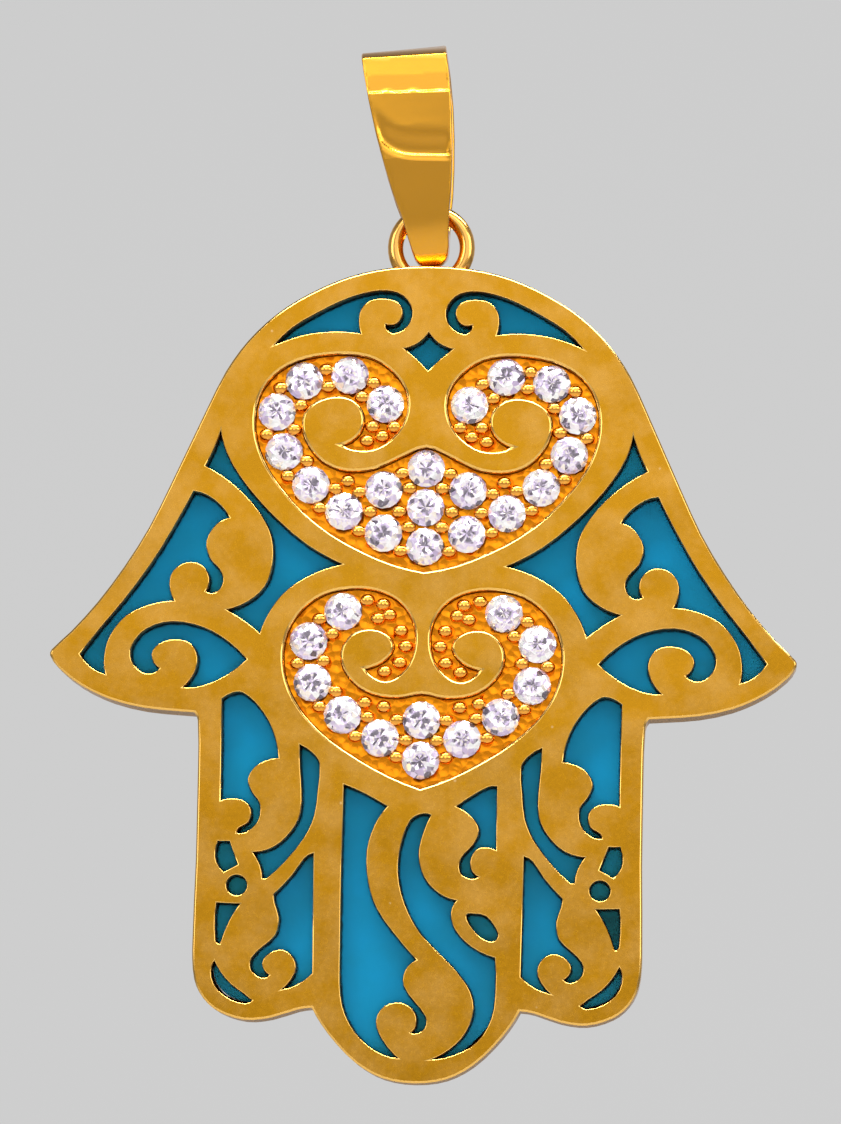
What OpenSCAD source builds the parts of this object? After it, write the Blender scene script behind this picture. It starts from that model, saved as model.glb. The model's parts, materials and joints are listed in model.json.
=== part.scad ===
// Hamsa pendant: a pierced gold hand over a turquoise sheet, with two pave hearts,
// a soldered ring on its top edge and a tapered bail that the hand swings from.
// It hangs: the origin is where the chain carries the bail, X is across, Z is up
// and the front faces -Y.

/* [Hand] */
// Height of the hand, from its top edge to the tip of the middle finger
hand_h = 31.4; // [31.4:0.1:40]
// Thickness of the pierced front
front_t = 0.85; // [0.85:0.01:1.2]
// Thickness of the turquoise sheet behind the front
sheet_t = 0.58; // [0.4:0.02:1]
// Thickness of the plain back
back_t = 0.36; // [0.3:0.02:0.8]
// Width of the wall round the edge that the sheet and the back sit in
wall_w = 0.7; // [0.6:0.01:0.75]
// Gap between two separate pieces
gap = 0.025; // [0.02:0.005:0.04]

/* [Stones] */
// Diameter of a round stone
stone_d = 1.45; // [1.2:0.01:1.46]
// Depth of the top of the girdle below the front of the hand
girdle_depth = 0.15; // [0.12:0.01:0.2]
// Width of the table as a share of the diameter
table_share = 0.56; // [0.5:0.01:0.62]
// Height of the crown as a share of the diameter
crown_share = 0.14; // [0.1:0.01:0.15]
// Depth of the pavilion as a share of the diameter
pavilion_share = 0.41; // [0.36:0.01:0.42]

/* [Pave setting] */
// Depth of the heart-shaped floors below the front of the hand
floor_depth = 0.45; // [0.4:0.01:0.55]
// Radius of a grain bead
bead_r = 0.2; // [0.12:0.01:0.2]
// Height of a grain bead's centre above the floor
bead_h = 0.23; // [0.15:0.01:0.25]

/* [Ring] */
// Radius of the soldered ring, to the middle of its wire
ring_r = 1.39; // [1.36:0.01:1.42]
// Radius of the ring's wire
wire_r = 0.3; // [0.28:0.01:0.32]
// Height of the ring's centre above the top edge of the hand
ring_rise = 0.85; // [0.82:0.01:0.9]

/* [Bail] */
// Lean of the bail to the left, in degrees
lean = 8.6; // [0:0.1:9]
// Sideways offset of the bail's middle line at the ring
bail_shift = -0.2; // [-0.22:0.01:0]
// Height of the swing axis above the top edge of the hand
swing_rise = 1.95; // [1.9:0.01:2]
// Height of the swing axis above the tip of the bail
swing_in_bail = 1.87; // [1.86:0.01:1.88]

/* [Hidden] */
GOLD = "goldenrod";
DEEP_GOLD = "darkorange";
TURQUOISE = "darkcyan";
STONE = "white";

// Outlines are drawn on the hand's face in millimetres.
// Columns: across, down from the top edge, 1 for a sharp corner

// Right half of the hand's edge, from the top to the tip of the middle finger
HAND_EDGE = [
    [0, 0, 0], [1.6, 0.1, 0], [3.1, 0.45, 0], [4.6, 1.12, 0], [5.85, 1.93, 0], [6.95, 3.0, 0],
    [7.78, 4.2, 0], [8.45, 5.6, 0], [9.1, 7.05, 0], [9.82, 8.65, 0], [10.6, 10.3, 0],
    [11.5, 11.8, 0], [12.5, 13.2, 0], [13.5, 14.35, 0], [14.22, 15.05, 0], [14.28, 15.28, 0],
    [13.95, 15.75, 0], [13.1, 16.4, 0], [11.9, 16.95, 0], [10.6, 17.25, 0], [9.3, 17.36, 0],
    [8.68, 17.4, 1], [8.55, 17.7, 0], [8.5, 19.5, 0], [8.5, 23, 0], [8.56, 26.4, 0], [8.45, 27.6, 0],
    [8.1, 28.3, 0], [7.5, 28.8, 0], [6.5, 29.1, 0], [5.5, 29.0, 0], [4.5, 28.68, 0], [3.95, 28.6, 1],
    [3.6, 29.2, 0], [3.0, 29.95, 0], [2.2, 30.7, 0], [1.2, 31.23, 0], [0, 31.4, 0]
];

// The diamond under the top edge
DIAMOND = [
    [0, 2.55, 1], [0.38, 2.98, 0], [0.97, 3.22, 1], [0.47, 3.62, 0], [0, 4.1, 1]
];

// The long hook at each side of the diamond
TOP_HOOK = [
    [6.0, 3.2, 1], [5.25, 2.45, 0], [4.4, 1.92, 0], [3.4, 1.4, 0], [2.5, 1.08, 0], [1.65, 0.97, 0],
    [1.0, 1.17, 0], [0.65, 1.75, 0], [0.82, 2.35, 0], [1.35, 2.65, 0], [1.62, 2.5, 0], [1.68, 2.27, 1],
    [1.25, 2.25, 0], [1.02, 1.85, 0], [1.2, 1.45, 0], [1.75, 1.3, 0], [2.35, 1.42, 0], [2.68, 1.9, 0],
    [2.6, 2.68, 1], [3.6, 2.6, 0], [4.8, 2.75, 0]
];

// The space between the two hearts and the big scroll
SHOULDER = [
    [7.92, 6.45, 1], [7.68, 7.35, 0], [7.15, 8.25, 0], [6.45, 9.12, 0], [5.6, 9.98, 0], [4.5, 10.88, 0],
    [3.1, 11.62, 1], [4.2, 11.97, 0], [5.2, 12.6, 0], [5.85, 13.4, 0], [6.25, 14.33, 1], [6.85, 13.85, 0],
    [7.58, 13.42, 1], [6.75, 13.1, 0], [6.1, 12.5, 0], [5.82, 11.6, 0], [5.88, 10.6, 0], [6.3, 9.75, 0],
    [6.95, 8.98, 0], [7.7, 8.35, 0], [8.5, 7.88, 1], [8.15, 7.15, 0]
];

// The space between the big scroll and the edge, down to the point of the thumb
THUMB_EDGE = [
    [8.92, 8.85, 1], [8.4, 9.0, 0], [7.85, 9.4, 0], [7.5, 9.88, 1], [8.02, 10.15, 0], [8.38, 10.8, 0],
    [8.22, 11.45, 0], [7.82, 11.9, 0], [7.7, 12.35, 0], [7.95, 12.76, 0], [8.38, 12.74, 1],
    [8.24, 12.2, 0], [8.55, 11.72, 0], [9.1, 11.62, 0], [9.62, 11.95, 0], [9.76, 12.5, 0],
    [9.55, 13.12, 1], [10.5, 13.27, 0], [11.4, 13.72, 0], [12.0, 14.5, 0], [12.2, 15.3, 0],
    [12.12, 16.0, 1], [12.7, 15.72, 0], [13.15, 15.22, 1], [12.4, 14.22, 0], [11.5, 13.1, 0],
    [10.5, 11.7, 0], [9.7, 10.35, 0]
];

// The eye-shaped space over the thumb's lower edge
THUMB_EYE = [
    [6.72, 15.33, 1], [7.45, 14.65, 0], [8.4, 14.12, 0], [9.6, 13.9, 0], [10.6, 14.2, 0], [11.15, 14.85, 0],
    [11.15, 15.45, 0], [10.75, 15.88, 0], [10.35, 15.92, 0], [10.05, 15.72, 1], [10.38, 15.2, 0],
    [10.1, 14.78, 0], [9.5, 14.6, 0], [8.9, 14.75, 0], [8.62, 15.3, 0], [8.75, 15.9, 0],
    [9.18, 16.45, 1], [8.35, 16.35, 0], [7.5, 15.95, 0]
];

// The outer finger's upper space, with a hook round a small lobe
FINGER_TOP = [
    [7.65, 16.85, 1], [7.25, 16.62, 0], [6.85, 16.6, 0], [6.2, 17.15, 0], [5.68, 18.0, 0], [5.42, 19.1, 1],
    [6.2, 19.35, 0], [6.58, 19.9, 0], [6.4, 20.42, 0], [6.1, 20.85, 0], [6.15, 21.5, 0], [6.55, 21.92, 0],
    [6.98, 22.0, 1], [6.9, 21.8, 0], [6.52, 21.55, 0], [6.45, 21.05, 0], [6.8, 20.72, 0], [7.3, 20.68, 0],
    [7.62, 20.78, 1], [7.62, 18.8, 0]
];

// The curved slot beside the upper space
FINGER_SLOT = [
    [4.64, 18.55, 1], [4.1, 18.9, 0], [3.85, 19.3, 0], [3.9, 20.3, 0], [4.02, 21.3, 0], [4.4, 22.15, 0],
    [5.1, 23.05, 0], [5.75, 23.68, 0], [5.95, 23.72, 1], [6.05, 23.2, 0], [6.35, 22.7, 1], [5.55, 22.5, 0],
    [4.9, 21.9, 0], [4.55, 21.2, 0], [4.52, 20.3, 0], [4.6, 19.4, 0]
];

// The small four-sided space by the outer edge
FINGER_LEAF = [
    [7.68, 22.3, 1], [7.22, 22.3, 1], [6.88, 23.2, 1], [7.42, 23.5, 1], [7.72, 23.1, 0], [7.76, 22.7, 0]
];

// The round hole and its centre
DOT = [6.92, 23.98];
DOT_R = 0.4;

// The tapered space under the round hole
FINGER_WEDGE = [
    [7.68, 24.65, 1], [6.75, 24.68, 1], [7.15, 25.3, 0], [7.5, 26.25, 1], [7.68, 26.1, 0]
];

// The leaf in the finger's lower corner
FINGER_CORNER = [
    [7.7, 26.85, 1], [7.45, 27.3, 0], [7.05, 27.75, 0], [6.55, 28.1, 0], [6.22, 28.36, 1], [6.5, 28.48, 0],
    [7.05, 28.34, 0], [7.57, 27.97, 0], [7.8, 27.5, 0], [7.8, 27.1, 0]
];

// The outer finger's lower space, with a hook round the scroll's end
FINGER_FOOT = [
    [4.0, 22.7, 1], [4.35, 22.9, 0], [4.8, 23.55, 0], [5.5, 24.3, 1], [5.45, 24.65, 0], [5.28, 25.2, 0],
    [5.4, 25.85, 0], [5.85, 26.28, 0], [6.28, 26.72, 0], [6.3, 27.2, 0], [5.9, 27.5, 0], [5.58, 27.38, 1],
    [5.88, 26.95, 0], [5.6, 26.55, 0], [5.1, 26.42, 0], [4.68, 26.75, 0], [4.62, 27.25, 0],
    [5.15, 27.95, 1], [4.5, 27.72, 0], [3.96, 27.3, 1]
];

// The middle finger's wide channel, on the left; it isn't mirrored
MIDDLE_CHANNEL = [
    [-2.92, 20.05, 1], [-2.1, 20.4, 0], [-1.22, 20.88, 1], [-1.7, 21.6, 0], [-1.98, 22.6, 0],
    [-1.9, 23.8, 0], [-1.55, 24.8, 0], [-0.9, 25.7, 0], [0, 26.72, 1], [-0.42, 27.1, 0], [-0.48, 27.7, 0],
    [-0.05, 28.3, 0], [0.38, 28.85, 0], [0.35, 29.32, 0], [0, 29.52, 0], [-0.2, 29.48, 1],
    [0.02, 29.2, 0], [-0.05, 28.7, 0], [-0.55, 28.36, 0], [-1.2, 28.5, 0], [-1.5, 29.05, 0],
    [-1.25, 29.75, 0], [-0.6, 30.48, 1], [-1.5, 30.2, 0], [-2.3, 29.5, 0], [-2.8, 28.5, 0], [-2.92, 27.2, 0]
];

// The S-shaped channel that runs down beside it
MIDDLE_SLOT = [
    [0.45, 21.18, 1], [0.05, 21.15, 0], [-0.35, 21.4, 0], [-0.68, 22.3, 0], [-0.78, 23.4, 0],
    [-0.5, 24.6, 0], [0.15, 25.75, 0], [1.1, 26.7, 0], [1.9, 27.6, 0], [2.2, 28.5, 0], [1.9, 29.45, 0],
    [1.3, 30.1, 0], [0.55, 30.5, 1], [1.5, 30.3, 0], [2.35, 29.8, 0], [2.88, 28.9, 0], [3.02, 27.8, 0],
    [2.98, 26.58, 1], [2.1, 26.2, 0], [1.45, 25.55, 0], [1.27, 24.9, 0], [1.5, 24.42, 1], [0.85, 24.2, 0],
    [0.25, 23.6, 0], [0, 22.75, 0], [0.15, 21.9, 0]
];

// The hooked space in the middle finger's upper right corner
MIDDLE_HOOK = [
    [2.95, 20.05, 1], [2.6, 20.08, 0], [2.0, 20.42, 0], [1.38, 20.85, 1], [2.0, 21.25, 0],
    [2.28, 21.75, 0], [2.05, 22.3, 0], [1.62, 22.8, 0], [1.58, 23.35, 0], [1.95, 23.6, 0], [2.32, 23.52, 1],
    [2.02, 23.25, 0], [2.0, 22.8, 0], [2.3, 22.42, 0], [2.95, 22.5, 1]
];

// The small leaf below the hook
MIDDLE_LEAF = [
    [1.85, 24.98, 0], [2.15, 24.92, 0], [2.6, 25.0, 0], [2.95, 25.4, 0], [3.08, 25.78, 0], [2.85, 25.98, 0],
    [2.45, 25.85, 0], [2.1, 25.5, 0]
];

// Right half of each heart's opening: out along the lower edge, round the curl and back inside it
UPPER_HEART = [
    [0, 11.85, 1], [1.2, 11.58, 0], [2.4, 11.1, 0], [3.6, 10.45, 0], [4.7, 9.6, 0], [5.6, 8.6, 0],
    [6.25, 7.6, 0], [6.6, 6.4, 0], [6.48, 5.2, 0], [5.9, 4.3, 0], [5.0, 3.75, 0], [4.0, 3.52, 0],
    [3.0, 3.47, 0], [2.1, 3.65, 0], [1.35, 4.15, 0], [0.85, 4.85, 0], [0.78, 5.7, 0], [1.15, 6.5, 0],
    [1.85, 7.05, 0], [2.55, 7.18, 0], [3.25, 7.0, 1], [2.72, 6.72, 0], [2.42, 6.2, 0], [2.52, 5.6, 0],
    [2.95, 5.2, 0], [3.6, 5.1, 0], [4.3, 5.32, 0], [4.75, 5.8, 0], [4.78, 6.5, 0], [4.4, 7.25, 0],
    [3.75, 7.8, 0], [2.9, 8.02, 0], [1.9, 7.88, 0], [0.9, 7.4, 0], [0, 7.05, 0]
];
LOWER_HEART = [
    [0, 20.18, 1], [1.2, 19.72, 0], [2.4, 19.08, 0], [3.5, 18.35, 0], [4.4, 17.5, 0], [5.05, 16.5, 0],
    [5.32, 15.4, 0], [5.2, 14.3, 0], [4.65, 13.4, 0], [3.8, 12.78, 0], [2.8, 12.55, 0], [1.8, 12.62, 0],
    [0.95, 13.02, 0], [0.42, 13.75, 0], [0.3, 14.6, 0], [0.52, 15.4, 0], [1.05, 15.95, 0],
    [1.6, 16.05, 0], [2.2, 15.62, 1], [1.5, 15.35, 0], [1.1, 14.8, 0], [1.3, 14.35, 0], [1.9, 14.08, 0],
    [2.6, 14.2, 0], [3.08, 14.75, 0], [3.1, 15.45, 0], [2.65, 16.15, 0], [1.9, 16.6, 0], [0.9, 16.72, 0],
    [0, 16.55, 0]
];

// Stones of each heart, right-hand one of each pair. Columns: across, down
UPPER_PAIRS = [
    [1.62, 5.38], [3.0, 4.28], [4.76, 4.52], [5.78, 5.74], [5.48, 7.28], [4.42, 8.55], [3.13, 9.56],
    [1.62, 8.7], [1.6, 10.38]
];
UPPER_MIDDLE = [[0, 7.86], [0, 9.37], [0, 10.88]];
LOWER_PAIRS = [[3.08, 13.42], [4.38, 14.58], [4.2, 16.18], [3.02, 17.4], [1.57, 18.27]];
LOWER_MIDDLE = [[0, 17.56], [0, 19.1]];
// Stones whose centres are nearer than this on the drawing are neighbours
NEIGHBOUR = 1.95;
// Two neighbours have no bead beside them where a third stone is nearer to it than this
CROWDED = 1.4;
// Each stone is turned by this many degrees more than the one before it
STONE_TURN = 17;
// Thickness of a stone's girdle as a share of its diameter
GIRDLE_SHARE = 0.03;
// Radius of the star points and of the lower pavilion points as shares of the stone's radius
STAR_SHARE = 0.8;
LOW_SHARE = 0.3;
// Clearance between a stone's pavilion and its drilled seat
SEAT_GAP = 0.06;
UPPER_STONES = concat(UPPER_PAIRS, other_side(UPPER_PAIRS), UPPER_MIDDLE);
LOWER_STONES = concat(LOWER_PAIRS, other_side(LOWER_PAIRS), LOWER_MIDDLE);

// Grain beads of each heart that stand away from the stones, on one side. Columns: across, down
UPPER_GRAINS = [[1.27, 6.26], [2.1, 6.25], [1.72, 6.62], [2.3, 6.8], [3.0, 8.37]];
LOWER_GRAINS = [
    [2.15, 12.97], [1.55, 13.12], [1.3, 13.52], [1.74, 13.67], [0.85, 14.12], [0.66, 14.72],
    [0.88, 15.35], [1.45, 15.7], [1.45, 17.05], [2.18, 16.9]
];

// Front view of the bail. Columns: half width, height above its tip, 1 for a sharp corner
BAIL_FRONT = [
    [0, 0, 0], [0.4, 0.08, 0], [0.64, 0.36, 0], [0.76, 0.95, 0], [0.93, 2.0, 0], [1.12, 2.8, 0],
    [1.3, 3.85, 0], [1.47, 5.1, 0], [1.59, 6.4, 0], [1.64, 7.6, 0], [1.65, 8.8, 1], [0, 8.8, 1]
];
// Side view of the bail, outside and inside, with the two creases where its top was bent over.
// Columns: half depth, height above its tip, 1 for a sharp corner
BAIL_OUTSIDE = [
    [0, 0, 0], [0.3, 0.1, 0], [0.58, 0.5, 0], [0.95, 1.25, 0], [1.13, 2.0, 0], [1.27, 2.9, 0],
    [1.48, 4.2, 0], [1.6, 5.4, 0], [1.7, 6.6, 1], [1.64, 7.35, 0], [1.52, 8.12, 1], [0.85, 8.46, 0],
    [0, 8.6, 0]
];
BAIL_INSIDE = [
    [0, 1.2, 0], [0.42, 1.36, 0], [0.66, 1.8, 0], [0.75, 2.4, 0], [0.86, 3.2, 0], [1.04, 4.4, 0],
    [1.18, 5.6, 0], [1.25, 6.75, 0], [1.08, 7.38, 0], [0.63, 7.83, 0], [0, 8.0, 0]
];
// Height of the inside top of the bail above its tip, where the chain lies
BAIL_SEAT = 8;
// Width and depth of the block that the two views of the bail are cut from
BAIL_SPAN = 6;

// The drawing above was made for this height of hand
DRAWN_H = 31.4;
k = hand_h / DRAWN_H;
hand_t = front_t + sheet_t + back_t + 2 * gap;
front_y = -hand_t / 2;
// The inside top of the bail, above the swing axis
seat_rise = (BAIL_SEAT - swing_in_bail) / cos(lean);
hand_top_z = -seat_rise - swing_rise;
// Radius of a stone's seat, where its pavilion passes through the floor
seat_depth = floor_depth - girdle_depth - GIRDLE_SHARE * stone_d;
seat_r = stone_d / 2 * (1 - seat_depth / (stone_d * pavilion_share)) + SEAT_GAP;
// Greatest distance between a drawn curve and its edges
CURVE_ERROR = 0.008;

function stone_name(heart, i) = str(heart, "_stone_", i < 10 ? "0" : "", i);
function other_side(rows) = [for (row = rows) [-row[0], row[1]]];
function flipped(row) = [-row[0], row[1], row[2]];
// A half outline and its mirror image, as one closed outline
function whole(rows) = concat(rows, [for (i = [len(rows) - 1:-1:0]) if (rows[i][0] != 0) flipped(rows[i])]);

function unit(v) = v / norm(v);
function angle_of(a, b) = acos(max(-1, min(1, a * b)));
function row_at(rows, i) = rows[(i + len(rows)) % len(rows)];
function point_at(rows, i) = [row_at(rows, i)[0], row_at(rows, i)[1]];
function chord(rows, i) = unit(point_at(rows, i + 1) - point_at(rows, i));
function through(rows, i) = unit(point_at(rows, i + 1) - point_at(rows, i - 1));
// The mirror image of a heading in a chord, which makes the stretch into a corner an arc
function arc_end(heading, along) = 2 * (heading * along) * along - heading;
function sharp(rows, i) = row_at(rows, i)[2] == 1;
function leaving(rows, i) =
    !sharp(rows, i) ? through(rows, i)
    : sharp(rows, i + 1) ? chord(rows, i)
    : arc_end(through(rows, i + 1), chord(rows, i));
function arriving(rows, i) =
    !sharp(rows, i + 1) ? through(rows, i + 1)
    : sharp(rows, i) ? chord(rows, i)
    : arc_end(through(rows, i), chord(rows, i));
function blend(p, q, a, b, t) =
    (2 * t * t * t - 3 * t * t + 1) * p + (t * t * t - 2 * t * t + t) * a
    + (3 * t * t - 2 * t * t * t) * q + (t * t * t - t * t) * b;
// One stretch of an outline, from a row to the next
function stretch(rows, i) =
    let (
        p = point_at(rows, i),
        q = point_at(rows, i + 1),
        a = leaving(rows, i),
        b = arriving(rows, i),
        along = chord(rows, i),
        size = norm(q - p),
        turn = (angle_of(a, along) + angle_of(along, b)) * PI / 180,
        steps = max(1, ceil(sqrt(size * turn / 8 / CURVE_ERROR)))
    )
    [for (j = [0:steps - 1]) blend(p, q, a * size, b * size, j / steps)];
function smooth(rows) = [for (i = [0:len(rows) - 1]) each stretch(rows, i)];

// A closed outline on the hand's face
module drawn(rows) {
    polygon([for (p = smooth(rows)) [p[0] * k, -p[1] * k]]);
}

module drawn_twice(rows) {
    drawn(rows);
    drawn([for (row = rows) flipped(row)]);
}

// A flat piece of the hand, between two depths behind its front face
module layer(from, to) {
    translate([0, front_y + to, hand_top_z])
        rotate([90, 0, 0])
            linear_extrude(to - from)
                children();
}

// A place on the hand's face at a depth, with +Z of the child towards the viewer
module on_face(across, down, depth) {
    translate([across * k, front_y + depth, hand_top_z - down * k])
        rotate([90, 0, 0])
            children();
}

module hand_edge() {
    drawn(whole(HAND_EDGE));
}

module piercings() {
    drawn(whole(DIAMOND));
    for (rows = [
        TOP_HOOK, SHOULDER, THUMB_EDGE, THUMB_EYE, FINGER_TOP, FINGER_SLOT, FINGER_LEAF,
        FINGER_WEDGE, FINGER_CORNER, FINGER_FOOT
    ])
        drawn_twice(rows);
    for (side = [-1, 1])
        translate([side * DOT[0] * k, -DOT[1] * k])
            circle(r = DOT_R * k, $fn = 32);
    drawn(MIDDLE_CHANNEL);
    drawn(MIDDLE_SLOT);
    drawn(MIDDLE_HOOK);
    drawn(MIDDLE_LEAF);
}

module hearts() {
    drawn(whole(UPPER_HEART));
    drawn(whole(LOWER_HEART));
}

// The space inside the wall round the hand's edge, less a gap
module inside_wall(clearance) {
    offset(delta = -wall_w - clearance)
        hand_edge();
}

// The pierced front, the wall behind it and the soldered ring are one piece
module hand_plate() {
    color(GOLD) {
        layer(0, front_t)
            difference() {
                hand_edge();
                piercings();
                hearts();
            }
        layer(front_t, hand_t)
            difference() {
                hand_edge();
                inside_wall(0);
            }
        translate([0, 0, hand_top_z + ring_rise])
            rotate([90, 0, 0])
                rotate_extrude($fn = 64)
                    translate([ring_r, 0])
                        circle(r = wire_r, $fn = 32);
    }
}

module turquoise_sheet() {
    color(TURQUOISE)
        layer(front_t + gap, front_t + gap + sheet_t)
            inside_wall(gap);
}

module back_plate() {
    color(GOLD)
        layer(hand_t - back_t, hand_t)
            inside_wall(gap);
}

// A round brilliant along Z, with the top of its girdle at zero
module brilliant(d) {
    r = d / 2;
    table_r = r * table_share;
    crown = d * crown_share;
    pavilion = d * pavilion_share;
    band = d * GIRDLE_SHARE;
    star_r = r * STAR_SHARE;
    low_r = r * LOW_SHARE;
    half = cos(22.5);
    star_z = crown * (r - star_r * half) / (r - table_r);
    low_z = -band - pavilion * (r - low_r * half) / r;
    points = concat(
        [for (i = [0:7]) [table_r * cos(45 * i), table_r * sin(45 * i), crown]],
        [for (i = [0:7]) [star_r * cos(45 * i + 22.5), star_r * sin(45 * i + 22.5), star_z]],
        [for (i = [0:15]) [r * cos(22.5 * i), r * sin(22.5 * i), 0]],
        [for (i = [0:15]) [r * cos(22.5 * i), r * sin(22.5 * i), -band]],
        [for (i = [0:7]) [low_r * cos(45 * i + 22.5), low_r * sin(45 * i + 22.5), low_z]],
        [[0, 0, -band - pavilion]]
    );
    // First point of each ring
    star = 8;
    top = 16;
    bottom = 32;
    low = 48;
    culet = 56;
    faces = concat(
        [[for (i = [7:-1:0]) i]],
        [for (i = [0:7]) [i, (i + 1) % 8, star + i]],
        [for (i = [0:7]) [i, star + i, top + 2 * i, star + (i + 7) % 8]],
        [for (i = [0:7]) [star + i, top + 2 * i + 1, top + 2 * i]],
        [for (i = [0:7]) [star + i, top + (2 * i + 2) % 16, top + 2 * i + 1]],
        [for (i = [0:15]) [top + i, top + (i + 1) % 16, bottom + (i + 1) % 16, bottom + i]],
        [for (i = [0:7]) [low + i, bottom + 2 * i, bottom + 2 * i + 1]],
        [for (i = [0:7]) [low + i, bottom + 2 * i + 1, bottom + (2 * i + 2) % 16]],
        [for (i = [0:7]) [culet, low + (i + 7) % 8, bottom + 2 * i, low + i]]
    );
    polyhedron(points = points, faces = faces);
}

module stone(place, i) {
    color(STONE)
        on_face(place[0], place[1], girdle_depth)
            rotate([0, 0, STONE_TURN * i])
                brilliant(stone_d);
}

function neighbours(a, b) = norm(b - a) < NEIGHBOUR;
function crowd(place, stones) = len([for (s = stones) if (norm(s - place) < CROWDED) s]);
// The centre of the circle through three places
function amid(a, b, c) =
    let (
        divisor = 2 * (a[0] * (b[1] - c[1]) + b[0] * (c[1] - a[1]) + c[0] * (a[1] - b[1])),
        across = (a * a) * (b[1] - c[1]) + (b * b) * (c[1] - a[1]) + (c * c) * (a[1] - b[1]),
        down = (a * a) * (c[0] - b[0]) + (b * b) * (a[0] - c[0]) + (c * c) * (b[0] - a[0])
    )
    [across / divisor, down / divisor];

// The beads in the gaps at both sides of two neighbouring stones, clear of both
module beads_beside(a, b, stones) {
    reach = (stone_d / 2 + bead_r + gap) / k;
    half = norm(b - a) / 2;
    out = sqrt(max(0, reach * reach - half * half));
    across = unit([b[1] - a[1], a[0] - b[0]]) * out;
    for (side = out > 0 ? [-1, 1] : [0])
        if (crowd((a + b) / 2 + side * across, stones) == 2)
            grain((a + b) / 2 + side * across);
}

// Beads beside each two neighbouring stones, and one amid each three
module beads_among(stones) {
    last = len(stones) - 1;
    for (i = [0:last - 1])
        for (j = [i + 1:last])
            if (neighbours(stones[i], stones[j])) {
                beads_beside(stones[i], stones[j], stones);
                for (m = [j + 1:1:last])
                    if (neighbours(stones[i], stones[m]) && neighbours(stones[j], stones[m]))
                        grain(amid(stones[i], stones[j], stones[m]));
            }
}

module grain(place) {
    on_face(place[0], place[1], floor_depth + gap) {
        cylinder(r = bead_r, h = bead_h, $fn = 24);
        translate([0, 0, bead_h])
            sphere(r = bead_r, $fn = 24);
    }
}

// A drilled, heart-shaped gold floor with the stones' seats
module seat_floor(stones) {
    difference() {
        layer(floor_depth, front_t)
            offset(delta = -gap)
                children();
        for (place = stones)
            on_face(place[0], place[1], front_t)
                cylinder(r = seat_r, h = 2 * front_t, center = true, $fn = 32);
    }
}

// A drilled floor, the beads among the stones and the beads that stand apart
module pave_setting(opening, stones, grains) {
    color(DEEP_GOLD) {
        seat_floor(stones)
            drawn(whole(opening));
        beads_among(stones);
        for (place = concat(grains, other_side(grains)))
            grain(place);
    }
}

module upper_pave_setting() {
    pave_setting(UPPER_HEART, UPPER_STONES, UPPER_GRAINS);
}

module lower_pave_setting() {
    pave_setting(LOWER_HEART, LOWER_STONES, LOWER_GRAINS);
}

// The bail is a tapered band bent into a drop-shaped loop, closed at its tip
module bail() {
    color(GOLD)
        translate([0, 0, hand_top_z + swing_rise])
            rotate([0, -lean, 0])
                translate([bail_shift, 0, -swing_in_bail])
                    intersection() {
                        translate([0, BAIL_SPAN / 2, 0])
                            rotate([90, 0, 0])
                                linear_extrude(BAIL_SPAN)
                                    polygon(smooth(whole(BAIL_FRONT)));
                        translate([-BAIL_SPAN / 2, 0, 0])
                            rotate([90, 0, 90])
                                linear_extrude(BAIL_SPAN)
                                    difference() {
                                        polygon(smooth(whole(BAIL_OUTSIDE)));
                                        polygon(smooth(whole(BAIL_INSIDE)));
                                    }
                    }
}

bail();
hand_plate();
turquoise_sheet();
back_plate();
upper_pave_setting();
lower_pave_setting();
for (i = [1:len(UPPER_STONES)])
    stone(UPPER_STONES[i - 1], i);
for (i = [1:len(LOWER_STONES)])
    stone(LOWER_STONES[i - 1], i);
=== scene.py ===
import json
import math

import bmesh
import bpy
from mathutils import Matrix, Vector, noise
from mathutils.bvhtree import BVHTree

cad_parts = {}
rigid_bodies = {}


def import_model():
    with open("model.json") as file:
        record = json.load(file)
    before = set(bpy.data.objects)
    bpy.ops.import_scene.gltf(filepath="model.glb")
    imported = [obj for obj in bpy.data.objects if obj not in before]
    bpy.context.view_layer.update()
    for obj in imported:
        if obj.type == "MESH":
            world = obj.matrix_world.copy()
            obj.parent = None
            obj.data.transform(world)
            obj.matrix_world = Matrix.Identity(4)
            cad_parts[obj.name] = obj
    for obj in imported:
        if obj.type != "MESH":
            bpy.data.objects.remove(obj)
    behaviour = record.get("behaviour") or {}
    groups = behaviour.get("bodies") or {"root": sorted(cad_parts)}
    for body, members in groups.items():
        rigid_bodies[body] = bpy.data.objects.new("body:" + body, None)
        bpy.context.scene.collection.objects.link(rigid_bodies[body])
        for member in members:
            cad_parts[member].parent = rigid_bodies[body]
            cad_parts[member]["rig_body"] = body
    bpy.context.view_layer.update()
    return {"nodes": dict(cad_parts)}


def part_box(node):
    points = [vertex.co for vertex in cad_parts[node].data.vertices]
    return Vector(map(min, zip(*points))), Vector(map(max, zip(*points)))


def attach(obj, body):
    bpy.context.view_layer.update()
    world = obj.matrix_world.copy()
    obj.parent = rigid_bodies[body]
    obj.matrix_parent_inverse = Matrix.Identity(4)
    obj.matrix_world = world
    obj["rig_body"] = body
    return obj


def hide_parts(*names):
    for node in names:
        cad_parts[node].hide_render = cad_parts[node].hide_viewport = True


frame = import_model()
MM = 0.001


# The turquoise sheet
# One sheet of turquoise, sawn to the hand's outline and laid behind the whole front.
# It is ground and polished smooth, and drops into the tray of the front from behind.

def linear(hex_colour):
    """The linear colour of an sRGB hex value."""
    channels = [int(hex_colour[i:i + 2], 16) / 255 for i in (1, 3, 5)]
    return [c / 12.92 if c <= 0.04045 else ((c + 0.055) / 1.055) ** 2.4 for c in channels] + [1.0]


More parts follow.
